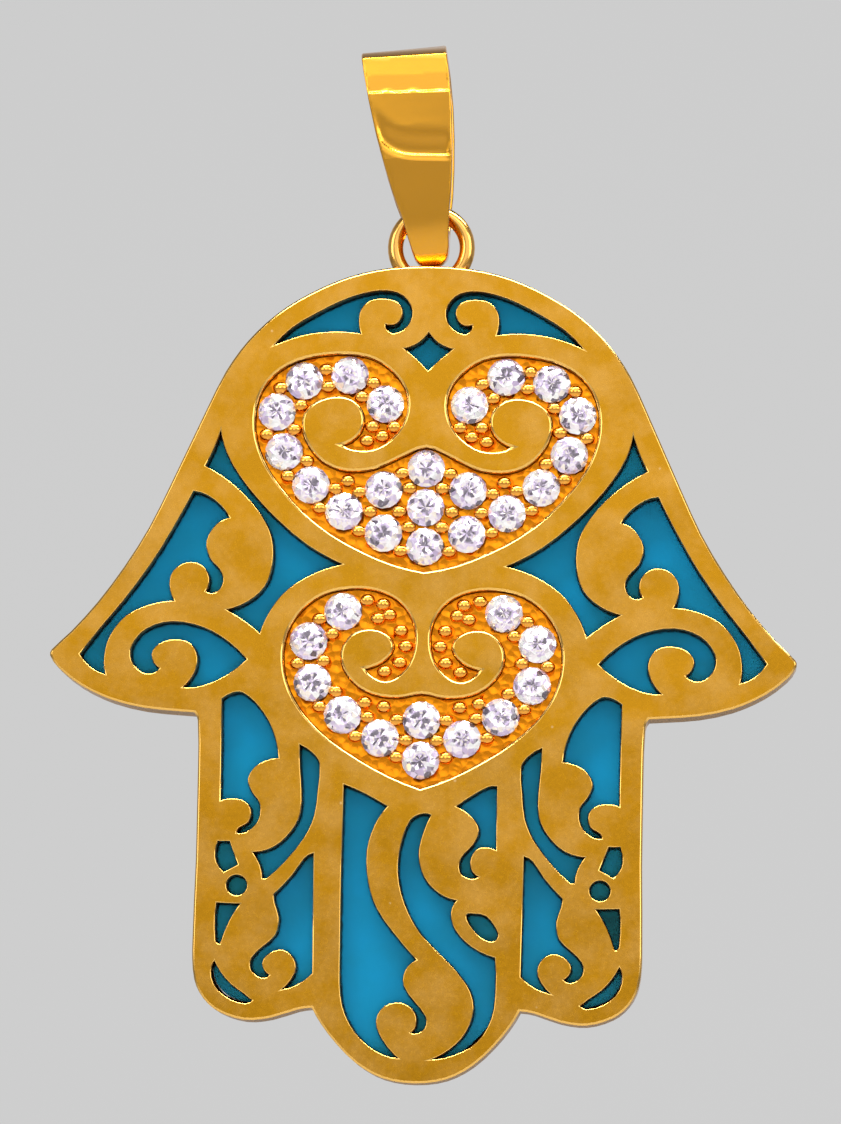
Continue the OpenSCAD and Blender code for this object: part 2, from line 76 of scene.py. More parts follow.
def add_node(material, kind, settings=(), stops=(), **links):
    """Adds a node. Settings set its sockets, by name or number, or its own properties. Stops set a ramp's
    places and colours. Links feed a socket, by name or by number as in _0, from another node's output."""
    made = material.node_tree.nodes.new(kind)
    sockets = []
    for key, value in dict(settings).items():
        if isinstance(key, str) and hasattr(made, key):
            setattr(made, key, value)
        else:
            sockets.append((key, value))
    for key, value in sockets:
        made.inputs[key].default_value = value
    for place, _ in stops[2:]:
        made.color_ramp.elements.new(place)
    for number, (place, colour) in enumerate(stops):
        made.color_ramp.elements[number].position = place
        made.color_ramp.elements[number].color = colour
    for key, (source, output) in links.items():
        socket = made.inputs[int(key[1:])] if key[0] == "_" else made.inputs[key.replace("_", " ")]
        material.node_tree.links.new(source.outputs[output], socket)
    return made


def new_material(name):
    """A material with an empty node tree."""
    material = bpy.data.materials.new(name)
    material.use_nodes = True
    material.node_tree.nodes.clear()
    return material


TURQUOISE_BLUE = "#0077A1"
TURQUOISE_GREENER = "#007398"
SHADED_TEAL = "#00707A"
WALL_LINE_SHADE = "#020A0C"
MATRIX_BLACK = "#06151C"
MOTTLE = 1.8 * MM
# Grinding leaves marks of some hundredths of a millimetre, drawn as coarse as they need to show
GRIND, GRIND_DEPTH = 0.12 * MM, 0.01 * MM
# Painted shade lies in an uneven line along the walls: how wide it is, how long its breaks are and how much
# they break it up, and how open the stone is where it ends
WALL_LINE_REACH = 0.14 * MM
WALL_LINE_BREAKS, WALL_LINE_UNEVEN = 0.3 * MM, 0.35
WALL_LINE_FROM, WALL_LINE_TO = 0.8, 1.0
# Walls within this reach shade the stone, painted as teal: wholly when it is this little open, not when this
# open
SLOT_REACH = 1.2 * MM
SLOT_SHADED, SLOT_LIT = 0.12, 0.36
# The dark spot of matrix shows in the tapered window of the right-hand finger
MATRIX_SPOT = (7.3 * MM, 0.0, -33.2 * MM)
MATRIX_R = 1.0 * MM


def polished_turquoise():
    """Polished turquoise: an opaque, even blue, with painted shade, teal in narrow slots and dark along
    walls.
    """
    stone = new_material("turquoise_ground_and_polished")
    place = add_node(stone, "ShaderNodeTexCoord")
    mottle = add_node(
        stone, "ShaderNodeTexNoise", {"Scale": 1 / MOTTLE, "Detail": 4.0, "Roughness": 0.55},
        Vector=(place, "Object")
    )
    blues = add_node(
        stone, "ShaderNodeValToRGB",
        stops=((0.38, linear(TURQUOISE_BLUE)), (0.62, linear(TURQUOISE_GREENER))), Fac=(mottle, "Fac")
    )
    level = add_node(
        stone, "ShaderNodeVectorMath", {"operation": "MULTIPLY", 1: (1.0, 0.0, 1.0)}, _0=(place, "Object")
    )
    from_spot = add_node(
        stone, "ShaderNodeVectorMath", {"operation": "DISTANCE", 1: MATRIX_SPOT}, _0=(level, 0)
    )
    off_spot = add_node(
        stone, "ShaderNodeMapRange", {"From Min": 0.8 * MATRIX_R, "From Max": MATRIX_R},
        Value=(from_spot, "Value")
    )
    spotted = add_node(
        stone, "ShaderNodeMix", {"data_type": "RGBA", 6: linear(MATRIX_BLACK)},
        _0=(off_spot, 0), _7=(blues, 0)
    )
    # Painted shade: the stone turns a darker, greener teal where walls close over it, as if lit off the gold
    slot_room = add_node(stone, "ShaderNodeAmbientOcclusion", {"Distance": SLOT_REACH, "samples": 8})
    openness = add_node(
        stone, "ShaderNodeMapRange", {"From Min": SLOT_SHADED, "From Max": SLOT_LIT}, Value=(slot_room, "AO")
    )
    shaded = add_node(
        stone, "ShaderNodeMix", {"data_type": "RGBA", 6: linear(SHADED_TEAL)},
        _0=(openness, 0), _7=(spotted, 2)
    )
    # Painted shade: a dark, broken line on the stone close along the walls
    near_wall = add_node(stone, "ShaderNodeAmbientOcclusion", {"Distance": WALL_LINE_REACH, "samples": 8})
    shade_breaks = add_node(
        stone, "ShaderNodeTexNoise", {"Scale": 1 / WALL_LINE_BREAKS, "Detail": 3.0}, Vector=(place, "Object")
    )
    uneven = add_node(
        stone, "ShaderNodeMath", {"operation": "MULTIPLY_ADD", 1: WALL_LINE_UNEVEN},
        _0=(shade_breaks, "Fac"), _2=(near_wall, "AO")
    )
    bare = add_node(
        stone, "ShaderNodeMapRange", {"From Min": WALL_LINE_FROM, "From Max": WALL_LINE_TO}, Value=(uneven, 0)
    )
    colour = add_node(
        stone, "ShaderNodeMix", {"data_type": "RGBA", 6: linear(WALL_LINE_SHADE)},
        _0=(bare, 0), _7=(shaded, 2)
    )
    grind = add_node(
        stone, "ShaderNodeTexNoise", {"Scale": 1 / GRIND, "Detail": 2.0}, Vector=(place, "Object")
    )
    bump = add_node(
        stone, "ShaderNodeBump", {"Strength": 0.15, "Distance": GRIND_DEPTH}, Height=(grind, "Fac")
    )
    surface = add_node(
        stone, "ShaderNodeBsdfPrincipled", {"Roughness": 0.4, "IOR": 1.61, "Specular IOR Level": 0.06},
        Base_Color=(colour, 2), Normal=(bump, 0)
    )
    add_node(stone, "ShaderNodeOutputMaterial", Surface=(surface, 0))
    return stone


sheet = frame["nodes"]["turquoise_sheet"]
sheet.data.materials.clear()
sheet.data.materials.append(polished_turquoise())


# The pierced front with its wall and ring
# Sawn from gold sheet, with the wall and the ring soldered on, so it is one piece of metal.
# The face is rubbed flat and polished, the heart edges are bright-cut, and the sawn walls stay dull.

OCHRE_GOLD = "#CD911C"
PEACH_GOLD = "#D8A042"
SPECK_GOLD = "#FFD9A0"
CLOUDS = 1.3 * MM
WAVES = 3.5 * MM
# The specks: how far apart they lie, and the shares of that at which one starts to fade and is gone
SPECKS_APART = 1.6 * MM
SPECK_FADES, SPECK_ENDS = 0.015, 0.045
# The grit of the last polish is far finer than this, and its grain is drawn as coarse as it needs to show
GRAIN, GRAIN_DEPTH = 0.16 * MM, 0.004 * MM
GRAIN_DARK, GRAIN_PALE, GRAIN_DULL = 0.96, 1.03, 0.06


def worn_gold(name, roughness, cloud_colour=PEACH_GOLD, unevenness=0.06 * MM):
    """Polished yellow gold worn to a satin: ochre with peach clouds, fine grain and a few pale specks."""
    gold = new_material(name)
    place = add_node(gold, "ShaderNodeTexCoord")
    clouds = add_node(
        gold, "ShaderNodeTexNoise", {"Scale": 1 / CLOUDS, "Detail": 5.0, "Roughness": 0.6},
        Vector=(place, "Object")
    )
    tint = add_node(
        gold, "ShaderNodeValToRGB", stops=((0.4, linear(OCHRE_GOLD)), (0.66, linear(cloud_colour))),
        Fac=(clouds, "Fac")
    )
    grain = add_node(
        gold, "ShaderNodeTexNoise", {"Scale": 1 / GRAIN, "Detail": 2.0}, Vector=(place, "Object")
    )
    grain_shade = add_node(
        gold, "ShaderNodeMapRange",
        {"From Min": 0.3, "From Max": 0.7, "To Min": GRAIN_DARK, "To Max": GRAIN_PALE}, Value=(grain, "Fac")
    )
    grained = add_node(
        gold, "ShaderNodeVectorMath", {"operation": "SCALE"}, _0=(tint, 0), Scale=(grain_shade, 0)
    )
    specks = add_node(gold, "ShaderNodeTexVoronoi", {"Scale": 1 / SPECKS_APART}, Vector=(place, "Object"))
    speck = add_node(
        gold, "ShaderNodeMapRange",
        {"From Min": SPECK_FADES, "From Max": SPECK_ENDS, "To Min": 0.6, "To Max": 0.0},
        Value=(specks, "Distance")
    )
    colour = add_node(
        gold, "ShaderNodeMix", {"data_type": "RGBA", 7: linear(SPECK_GOLD)}, _0=(speck, 0), _6=(grained, 0)
    )
    dull = add_node(
        gold, "ShaderNodeMapRange", {"To Min": roughness - GRAIN_DULL, "To Max": roughness + GRAIN_DULL},
        Value=(grain, "Fac")
    )
    waves = add_node(
        gold, "ShaderNodeTexNoise", {"Scale": 1 / WAVES, "Detail": 1.0}, Vector=(place, "Object")
    )
    flatness = add_node(
        gold, "ShaderNodeBump", {"Strength": 1.0, "Distance": unevenness}, Height=(waves, "Fac")
    )
    rubbed = add_node(
        gold, "ShaderNodeBump", {"Strength": 0.3, "Distance": GRAIN_DEPTH},
        Height=(grain, "Fac"), Normal=(flatness, 0)
    )
    surface = add_node(
        gold, "ShaderNodeBsdfPrincipled", {"Metallic": 1.0},
        Base_Color=(colour, 2), Roughness=(dull, 0), Normal=(rubbed, 0)
    )
    add_node(gold, "ShaderNodeOutputMaterial", Surface=(surface, 0))
    return gold


BRIGHT_CUT_GOLD = "#F7C468"
WIRE_GOLD = "#F2B44C"
RIPPLE = 0.6 * MM


def bright_gold(name, colour, roughness, ripple_depth=0.01 * MM, film=0.0):
    """Gold cut or burnished with a hard, polished tool: a clean mirror that turns white under a lamp. The
    clear film that polish leaves on it adds a second, sharper gleam."""
    gold = new_material(name)
    place = add_node(gold, "ShaderNodeTexCoord")
    ripple = add_node(
        gold, "ShaderNodeTexNoise", {"Scale": 1 / RIPPLE, "Detail": 2.0}, Vector=(place, "Object")
    )
    bump = add_node(
        gold, "ShaderNodeBump", {"Strength": 0.5, "Distance": ripple_depth}, Height=(ripple, "Fac")
    )
    surface = add_node(
        gold, "ShaderNodeBsdfPrincipled",
        {"Metallic": 1.0, "Base Color": linear(colour), "Roughness": roughness, "Coat Weight": film},
        Normal=(bump, 0)
    )
    add_node(gold, "ShaderNodeOutputMaterial", Surface=(surface, 0))
    return gold


WALL_GOLD = "#C08A30"
WALL_FOOT_SHADE = "#1E1206"
# Depths below the face: polishing reached the first, and past the second the wall is painted near-black shade
POLISHED_DEPTH, FOOT_SHADE_DEPTH = 0.4 * MM, 0.8 * MM
FOOT_SHADE_UNEVEN = 0.25 * MM
# The teeth of the saw leave finer marks than this, drawn as coarse as they need to show
SAW_MARKS, SAW_DEPTH = 0.08 * MM, 0.02 * MM


def sawn_wall_gold(front_y):
    """Sawn gold wall: yellow near the face, where polishing reached, and painted nearly black as shade below.
    """
    wall = new_material("gold_sawn_dull_shade_painted")
    place = add_node(wall, "ShaderNodeTexCoord")
    saw_marks = add_node(
        wall, "ShaderNodeTexNoise", {"Scale": 1 / SAW_MARKS, "Detail": 2.0}, Vector=(place, "Object")
    )
    depth = add_node(wall, "ShaderNodeSeparateXYZ", Vector=(place, "Object"))
    uneven = add_node(
        wall, "ShaderNodeMath", {"operation": "MULTIPLY_ADD", 1: FOOT_SHADE_UNEVEN},
        _0=(saw_marks, "Fac"), _2=(depth, "Y")
    )
    # Painted shade: the wall darkens to nearly black deeper in the recess, unevenly along the saw marks
    foot = add_node(
        wall, "ShaderNodeMapRange",
        {"From Min": front_y + POLISHED_DEPTH, "From Max": front_y + FOOT_SHADE_DEPTH}, Value=(uneven, 0)
    )
    colour = add_node(
        wall, "ShaderNodeMix", {"data_type": "RGBA", 6: linear(WALL_GOLD), 7: linear(WALL_FOOT_SHADE)},
        _0=(foot, 0)
    )
    bump = add_node(
        wall, "ShaderNodeBump", {"Strength": 0.6, "Distance": SAW_DEPTH}, Height=(saw_marks, "Fac")
    )
    surface = add_node(
        wall, "ShaderNodeBsdfPrincipled", {"Metallic": 1.0, "Roughness": 0.45},
        Base_Color=(colour, 2), Normal=(bump, 0)
    )
    add_node(wall, "ShaderNodeOutputMaterial", Surface=(surface, 0))
    return wall


# Corners nearer than this are one, and faces that turn less than this are one flat face
SEAM, FLAT = 0.0005 * MM, math.radians(0.3)


def clean_copy(node, name):
    """A piece that stands for a CAD node, with its surface, but with seams closed and flat faces whole."""
    mesh = bpy.data.meshes.new(name)
    shape = bmesh.new()
    shape.from_mesh(frame["nodes"][node].data)
    bmesh.ops.remove_doubles(shape, verts=shape.verts, dist=SEAM)
    bmesh.ops.dissolve_limit(
        shape, angle_limit=FLAT, verts=shape.verts, edges=shape.edges, use_dissolve_boundaries=False
    )
    shape.to_mesh(mesh)
    shape.free()
    piece = bpy.data.objects.new(name, mesh)
    bpy.context.scene.collection.objects.link(piece)
    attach(piece, frame["nodes"][node]["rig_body"])
    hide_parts(node)
    return piece


def shade_evenly(piece, sharp_from):
    """Shades a piece smooth but for edges sharper than an angle in degrees, and keeps its flat faces flat."""
    piece.data.shade_smooth()
    piece.data.set_sharp_from_angle(angle=math.radians(sharp_from))
    evened = piece.modifiers.new("flat_faces_stay_flat", "WEIGHTED_NORMAL")
    evened.keep_sharp = True


# The bevel is set to this width, and each edge takes its own share of it
WIDEST_CHAMFER = 0.12 * MM


def chamfer(piece, width_of, material_index):
    """Rounds a piece's edges, each as wide as width_of says, and gives the rounding a material of its own."""
    shape = bmesh.new()
    shape.from_mesh(piece.data)
    weight = shape.edges.layers.float.new("bevel_weight_edge")
    for edge in shape.edges:
        if len(edge.link_faces) == 2:
            edge[weight] = min(1.0, width_of(edge) / WIDEST_CHAMFER)
    shape.to_mesh(piece.data)
    shape.free()
    bevel = piece.modifiers.new("chamfer", "BEVEL")
    bevel.limit_method = "WEIGHT"
    bevel.width = WIDEST_CHAMFER
    bevel.segments = 2
    bevel.material = material_index
    bevel.use_clamp_overlap = False
    bevel.miter_outer = "MITER_SHARP"
    shade_evenly(piece, sharp_from=40)


def edge_angle(edge):
    """The angle that a mesh edge turns through."""
    return edge.calc_face_angle(0.0)


HEART_CHAMFER = 0.1 * MM
WINDOW_CHAMFER = 0.03 * MM
RIM_CHAMFER = 0.08 * MM
# Edges that turn less than this lie within a curved wall and stay as they are
CURVED_WALL_TURN = math.radians(50)
# An edge this near to a pave floor runs round a heart, and a wall this near is the heart's own
BY_A_HEART, HEART_WALL = 0.5 * MM, 0.2 * MM
FRONT_T = 0.85 * MM
# A window's wall ends short of this depth, and the hand's outer wall goes past it
WINDOW_WALL_DEPTH = 1.1 * FRONT_T
# A face is a wall when its normal points less than this to the front or back
WALL_NORMAL = 0.5
# The top of the hand, and how far above it a face has to reach to be the ring's
HAND_TOP_Z, RING_ABOVE = -8.15 * MM, 0.02 * MM
SAME_PLACE, NEAR_FACE = 0.001 * MM, 0.01 * MM
# Where each of the front's materials stands in its list
POLISHED, BRIGHT_CUT, SAWN, RING_WIRE = range(4)

front = clean_copy("hand_plate", "pierced_front")
plate_low, plate_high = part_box("hand_plate")
front_y = plate_low[1]
for material in (
    worn_gold("gold_polished_and_worn", roughness=0.26),
    bright_gold("gold_bright_cut", BRIGHT_CUT_GOLD, roughness=0.14),
    sawn_wall_gold(front_y),
    bright_gold("gold_wire_drawn_and_polished", WIRE_GOLD, roughness=0.16, film=1.0),
):
    front.data.materials.append(material)

pave_shape = bmesh.new()
for node in ("upper_pave_setting", "lower_pave_setting"):
    pave_shape.from_mesh(frame["nodes"][node].data)
pave_tree = BVHTree.FromBMesh(pave_shape)
pave_shape.free()


def front_edge_width(edge):
    """How wide an edge of the front is rounded: most round the hearts, least round the windows."""
    if edge_angle(edge) < CURVED_WALL_TURN:
        return 0.0
    middle = (edge.verts[0].co + edge.verts[1].co) / 2
    if all(abs(v.co.y - plate_high[1]) < SAME_PLACE for v in edge.verts):
        return RIM_CHAMFER
    if any(abs(v.co.y - front_y) > SAME_PLACE for v in edge.verts):
        return 0.0
    if pave_tree.find_nearest(middle)[3] < BY_A_HEART:
        return HEART_CHAMFER
    wall = [f for f in edge.link_faces if abs(f.normal.y) < WALL_NORMAL]
    reach = max((v.co.y for f in wall for v in f.verts), default=front_y)
    return RIM_CHAMFER if reach > front_y + WINDOW_WALL_DEPTH else WINDOW_CHAMFER


for face in front.data.polygons:
    depths = [front.data.vertices[i].co.y - front_y for i in face.vertices]
    is_wall = abs(face.normal.y) < WALL_NORMAL
    if is_wall and min(depths) < NEAR_FACE and max(depths) < WINDOW_WALL_DEPTH:
        by_heart = pave_tree.find_nearest(face.center)[3] < HEART_WALL
        face.material_index = POLISHED if by_heart else SAWN
    elif face.normal.y < -WALL_NORMAL and min(depths) > FRONT_T / 2 and face.center.z < HAND_TOP_Z:
        face.material_index = SAWN
    elif max(front.data.vertices[i].co.z for i in face.vertices) > HAND_TOP_Z + RING_ABOVE:
        face.material_index = RING_WIRE
chamfer(front, front_edge_width, BRIGHT_CUT)


# The back
# A plain plate of the same gold, let into the wall behind the turquoise and flush with its rim.
# It is rubbed to an even satin, calmer than the front.

BACK_CLOUD_GOLD = "#D19629"

back = frame["nodes"]["back_plate"]
back.data.materials.clear()
back.data.materials.append(
    worn_gold("gold_rubbed_satin", roughness=0.36, cloud_colour=BACK_CLOUD_GOLD, unevenness=0.03 * MM)
)


# The pave settings
# Each heart has a floor of gold, drilled for its stones and dug out with gravers.
# Small curls of it are pushed up and rounded into beads that hold the stones.

# The floor's gold is painted a deeper orange than the plate's, for light bounced between floor, walls and
# beads
BOUNCE_DEEPENED_GOLD = "#FF9A18"
BEAD_GOLD = "#F6AA3E"
GRAVER_CUTS, CUT_DEPTH = 0.34 * MM, 0.05 * MM
FLOOR_DEPTH = 0.45 * MM
# How much wider and taller than its solid a bead stands once it is pushed over, and how much prouder
BEAD_WIDER, BEAD_TALLER, BEAD_PROUDER = 1.45, 1.2, 1.1
# What stands further than this off the floor belongs to a bead
OFF_FLOOR = 0.01 * MM
# Where the beads' material stands in a setting's list, after the floor's
BEADS = 1


def dug_gold():
    """Gold dug with gravers, left as cut: painted deep orange, with small facets and ridges that catch light.
    """
    gold = new_material("gold_dug_with_gravers")
    place = add_node(gold, "ShaderNodeTexCoord")
    cuts = add_node(
        gold, "ShaderNodeTexVoronoi", {"Scale": 1 / GRAVER_CUTS, "feature": "SMOOTH_F1", "Smoothness": 0.3},
        Vector=(place, "Object")
    )
    ridges = add_node(
        gold, "ShaderNodeBump", {"Strength": 1.0, "Distance": CUT_DEPTH}, Height=(cuts, "Distance")
    )
    surface = add_node(
        gold, "ShaderNodeBsdfPrincipled",
        {"Metallic": 1.0, "Base Color": linear(BOUNCE_DEEPENED_GOLD), "Roughness": 0.24}, Normal=(ridges, 0)
    )
    add_node(gold, "ShaderNodeOutputMaterial", Surface=(surface, 0))
    return gold


def push_beads_over(piece, floor_y):
    """Spreads each bead over the edges of its stones, as a beading tool leaves it."""
    shape = bmesh.new()
    shape.from_mesh(piece.data)
    above = {v for v in shape.verts if v.co.y < floor_y - OFF_FLOOR}
    while above:
        bead, reached = set(), {above.pop()}
        while reached:
            vert = reached.pop()
            bead.add(vert)
            joined = {e.other_vert(vert) for e in vert.link_edges} & above
            above -= joined
            reached |= joined
        centre = sum((v.co for v in sorted(bead, key=lambda v: v.index)), Vector()) / len(bead)
        for vert in bead:
            vert.co.x = centre.x + (vert.co.x - centre.x) * BEAD_WIDER
            vert.co.z = centre.z + (vert.co.z - centre.z) * BEAD_TALLER
            vert.co.y = floor_y + (vert.co.y - floor_y) * BEAD_PROUDER
    shape.to_mesh(piece.data)
    shape.free()


floor_y = front_y + FLOOR_DEPTH
floor_gold = dug_gold()
bead_gold = bright_gold("gold_beads_burnished", BEAD_GOLD, roughness=0.17, film=0.5)
for node in ("upper_pave_setting", "lower_pave_setting"):
    setting = clean_copy(node, node.replace("setting", "floor"))
    push_beads_over(setting, floor_y)
    shade_evenly(setting, sharp_from=35)
    setting.data.materials.append(floor_gold)
    setting.data.materials.append(bead_gold)
    for face in setting.data.polygons:
        if min(setting.data.vertices[i].co.y for i in face.vertices) < floor_y - OFF_FLOOR:
            face.material_index = BEADS


# The stones
# Round brilliants of clear white stone, cut and polished on a lap, so each facet is flat.
# Each one sits in a drilled seat, and the beads around it hold it.

# Tints of the painted glints and reflections, each with the share of the glints that come before it
PAINTED_GLINT_TINTS = (
    (0.0, "#FFFFFF"), (0.3, "#FBF2F8"), (0.48, "#E8D8F4"), (0.6, "#FFF4E8"), (0.72, "#CDBADC"),
    (0.86, "#A89CB0"), (0.96, "#6E6472")
)
# The chance draw takes a glint no further than this among the tints, and the darker middle adds to it
DRAW_REACH, MIDDLE_ADDS = 0.92, 0.5
# The darker middle fades out between these distances from a stone's centre, as shares of its size
MIDDLE_FROM, MIDDLE_TO = 0.5, 0.57
# The painted glints lie like a fan: this many round a stone, in this many rings from its middle to its edge
GLINTS_AROUND = 16
GLINT_RINGS = 3.5
# How far the facets seen through the stone tilt from the outer ones
INNER_TILT = 0.5
# The middle of a stone in its own box, and of the random colours that tilt the inner facets
HALVES = (0.5, 0.5, 0.5)


def cut_white_stone():
    """Cut clear stone with small crisp painted glints, white, grey or lilac, as from facets behind facets."""
    clear = new_material("white_stone_cut_and_polished")
    place = add_node(clear, "ShaderNodeTexCoord")
    which = add_node(clear, "ShaderNodeObjectInfo")
    turn = add_node(clear, "ShaderNodeMath", {"operation": "MULTIPLY", 1: 2 * math.pi}, _0=(which, "Random"))
    turned = add_node(
        clear, "ShaderNodeVectorRotate", {"rotation_type": "Y_AXIS", "Center": HALVES},
        Vector=(place, "Generated"), Angle=(turn, 0)
    )
    from_middle = add_node(
        clear, "ShaderNodeVectorMath", {"operation": "SUBTRACT", 1: HALVES}, _0=(turned, 0)
    )
    sides = add_node(clear, "ShaderNodeSeparateXYZ", Vector=(from_middle, 0))
    around = add_node(clear, "ShaderNodeMath", {"operation": "ARCTAN2"}, _0=(sides, "Z"), _1=(sides, "X"))
    level = add_node(
        clear, "ShaderNodeVectorMath", {"operation": "MULTIPLY", 1: (1.0, 0.0, 1.0)}, _0=(from_middle, 0)
    )
    outwards = add_node(clear, "ShaderNodeVectorMath", {"operation": "LENGTH"}, _0=(level, 0))
    wedges = add_node(
        clear, "ShaderNodeMath", {"operation": "MULTIPLY", 1: GLINTS_AROUND / (2 * math.pi)}, _0=(around, 0)
    )
    rings = add_node(
        clear, "ShaderNodeMath", {"operation": "MULTIPLY", 1: 2 * GLINT_RINGS}, _0=(outwards, "Value")
    )
    # Each stone takes its glints from a place of its own in the pattern, so no two are alike
    own = add_node(clear, "ShaderNodeMath", {"operation": "MULTIPLY", 1: 100.0}, _0=(which, "Random"))
    fan = add_node(clear, "ShaderNodeCombineXYZ", X=(wedges, 0), Y=(rings, 0), Z=(own, 0))
    glints = add_node(clear, "ShaderNodeTexVoronoi", {"Scale": 1.0, "Randomness": 0.8}, Vector=(fan, 0))
    chance = add_node(clear, "ShaderNodeSeparateColor", Color=(glints, "Color"))
    # Painted shade: the middle of a stone is darker, where its lower facets meet
    out = add_node(
        clear, "ShaderNodeVectorMath", {"operation": "DISTANCE", 1: HALVES}, _0=(place, "Generated")
    )
    darker = add_node(
        clear, "ShaderNodeMapRange",
        {"From Min": MIDDLE_FROM, "From Max": MIDDLE_TO, "To Min": MIDDLE_ADDS, "To Max": 0.0},
        Value=(out, "Value")
    )
    draw = add_node(
        clear, "ShaderNodeMath", {"operation": "MULTIPLY_ADD", 1: DRAW_REACH}, _0=(chance, 0), _2=(darker, 0)
    )
    # Painted glints and reflections: each patch of the fan takes a tint, from white through lilac to dark
    # grey
    tints = add_node(
        clear, "ShaderNodeValToRGB", stops=[(share, linear(tint)) for share, tint in PAINTED_GLINT_TINTS],
        Fac=(draw, 0)
    )
    tints.color_ramp.interpolation = "CONSTANT"
    outside = add_node(clear, "ShaderNodeNewGeometry")
    tilt = add_node(
        clear, "ShaderNodeVectorMath", {"operation": "SUBTRACT", 1: HALVES}, _0=(glints, "Color")
    )
    tilted = add_node(
        clear, "ShaderNodeVectorMath", {"operation": "MULTIPLY_ADD", 1: (INNER_TILT,) * 3},
        _0=(tilt, 0), _2=(outside, "Normal")
    )
    inner = add_node(clear, "ShaderNodeVectorMath", {"operation": "NORMALIZE"}, _0=(tilted, 0))
    thrown_back = add_node(
        clear, "ShaderNodeBsdfPrincipled", {"Metallic": 1.0, "Roughness": 0.08},
        Base_Color=(tints, 0), Normal=(inner, 0)
    )
    body = add_node(
        clear, "ShaderNodeBsdfPrincipled", {"Roughness": 0.02, "IOR": 2.15, "Transmission Weight": 0.3},
        Base_Color=(tints, 0)
    )
    surface = add_node(clear, "ShaderNodeMixShader", {0: 0.5}, _1=(thrown_back, 0), _2=(body, 0))
    add_node(clear, "ShaderNodeOutputMaterial", Surface=(surface, 0))
    return clear


white_stone = cut_white_stone()
for name in sorted(frame["nodes"]):
    if "_stone_" in name:
        stone = frame["nodes"][name]
        stone.data.materials.clear()
        stone.data.materials.append(white_stone)


# The bail
# A strip of gold, tapered, bent into a drop-shaped loop through the ring and closed at its tip.
# Its front is polished to a mirror and has a shallow dished plaque half way up.

BAIL_GOLD = "#E9A628"
BAIL_LEAN = math.radians(8.6)
BAIL_TIP = Vector((0.082, 0.0, -8.079)) * MM
# Half of the bail's width at its tip, and how much it gains with each unit of height
TIP_HALF_WIDTH, WIDENING = 0.865 * MM, 0.113
# The long edges and the fold at the top, which turn more than this, are rounded
SHARP_TURN, EDGE_ROUNDING = math.radians(40), 0.08 * MM
# A face of the front points at least this much forwards, and lies further forwards than this
FORWARDS, FRONT_FROM_Y = 0.92, -0.9 * MM
# Heights above the tip up to which the sides are still true, of the crease and of the fold at the top
TRUE_UP_TO, CREASE_UP, FOLD_UP = 5.4 * MM, 6.6 * MM, 8.12 * MM
# The crease and the fold were bent a little out of square
CREASE_TURN, FOLD_TURN = math.radians(6.2), math.radians(4.3)
# The lower lip of the dished plaque, which curls up at the left
LIP_Z = -3.96 * MM
LIP_CURL_X = -0.35 * MM
LIP_CURL = 0.12
# The dish starts with a run up to the lip and a ledge at it, and then fades out
RUN_UP, RUN_UP_DEEP = 0.2 * MM, 0.035 * MM
LEDGE_STEEP, LEDGE_DEEP = 0.13 * MM, 0.085 * MM
DISH_FADES_FROM, DISH_FADES_OVER = 0.2 * MM, 0.9 * MM
# The nick just above the crease: how steep and deep it is, and how long its uneven stretches are
NICK_STEEP, NICK_DEEP = 0.15 * MM, 0.075 * MM
NICK_WEAR = 0.5 * MM
# Both fade towards the bail's sides, and the dish leaves this share of its margin flat
EDGE_MARGIN, NICK_MARGIN = 0.2 * MM, 0.08 * MM
FLAT_MARGIN = 0.15
# The front is cut into a grid for this work, finest at the lip and at the crease. Each stretch of the grid
# has a start, a step and a number of cuts
GRID_UP = (
    (LIP_Z - 0.3 * MM, 0.026 * MM, 41), (-1.76 * MM, 0.026 * MM, 19),
    (LIP_Z + 0.91 * MM, 0.16 * MM, 8), (-1.25 * MM, 0.12 * MM, 10)
)
GRID_ACROSS = ((-2.6 * MM, 0.1 * MM, 34),)
ON_A_CUT = 0.0001 * MM


def bail_place(point):
    """How far a point is across the bail from its middle line, and how far up from its tip."""
    away = point - BAIL_TIP
    lean_cos, lean_sin = math.cos(BAIL_LEAN), math.sin(BAIL_LEAN)
    return away.x * lean_cos + away.z * lean_sin, away.z * lean_cos - away.x * lean_sin


def held(t):
    """A number held between 0 and 1."""
    return min(1.0, max(0.0, t))


def eased(t):
    """A smooth rise from 0 to 1."""
    t = held(t)
    return t * t * (3 - 2 * t)


def turn_at(up):
    """How far the bail's front is bent out of square at a height."""
    if up < CREASE_UP:
        return CREASE_TURN * max(0.0, (up - TRUE_UP_TO) / (CREASE_UP - TRUE_UP_TO))
    return CREASE_TURN + (FOLD_TURN - CREASE_TURN) * min(1.0, (up - CREASE_UP) / (FOLD_UP - CREASE_UP))


def skew_creases(shape):
    """Turns the crease and the fold out of square by sliding their ends along the bail."""
    upwards = Vector((-math.sin(BAIL_LEAN), 0.0, math.cos(BAIL_LEAN)))
    for vert in shape.verts:
        across, up = bail_place(vert.co)
        to_front = held(-vert.co.y / MM)
        vert.co -= upwards * (across * math.tan(turn_at(up)) * to_front)


def front_faces(shape):
    """The faces at the front of the bail."""
    return [f for f in shape.faces if f.normal.y < -FORWARDS and f.calc_center_median().y < FRONT_FROM_Y]


def cut_grid(shape, normal, stretches):
    """Cuts the bail's front along planes, which lie in stretches."""
    for place in (start + step * i for start, step, cuts in stretches for i in range(cuts)):
        faces = front_faces(shape)
        edges = dict.fromkeys(e for f in faces for e in f.edges)
        verts = dict.fromkeys(v for f in faces for v in f.verts)
        bmesh.ops.bisect_plane(
            shape, geom=[*faces, *edges, *verts], dist=ON_A_CUT,
            plane_co=Vector(normal) * place, plane_no=normal
        )


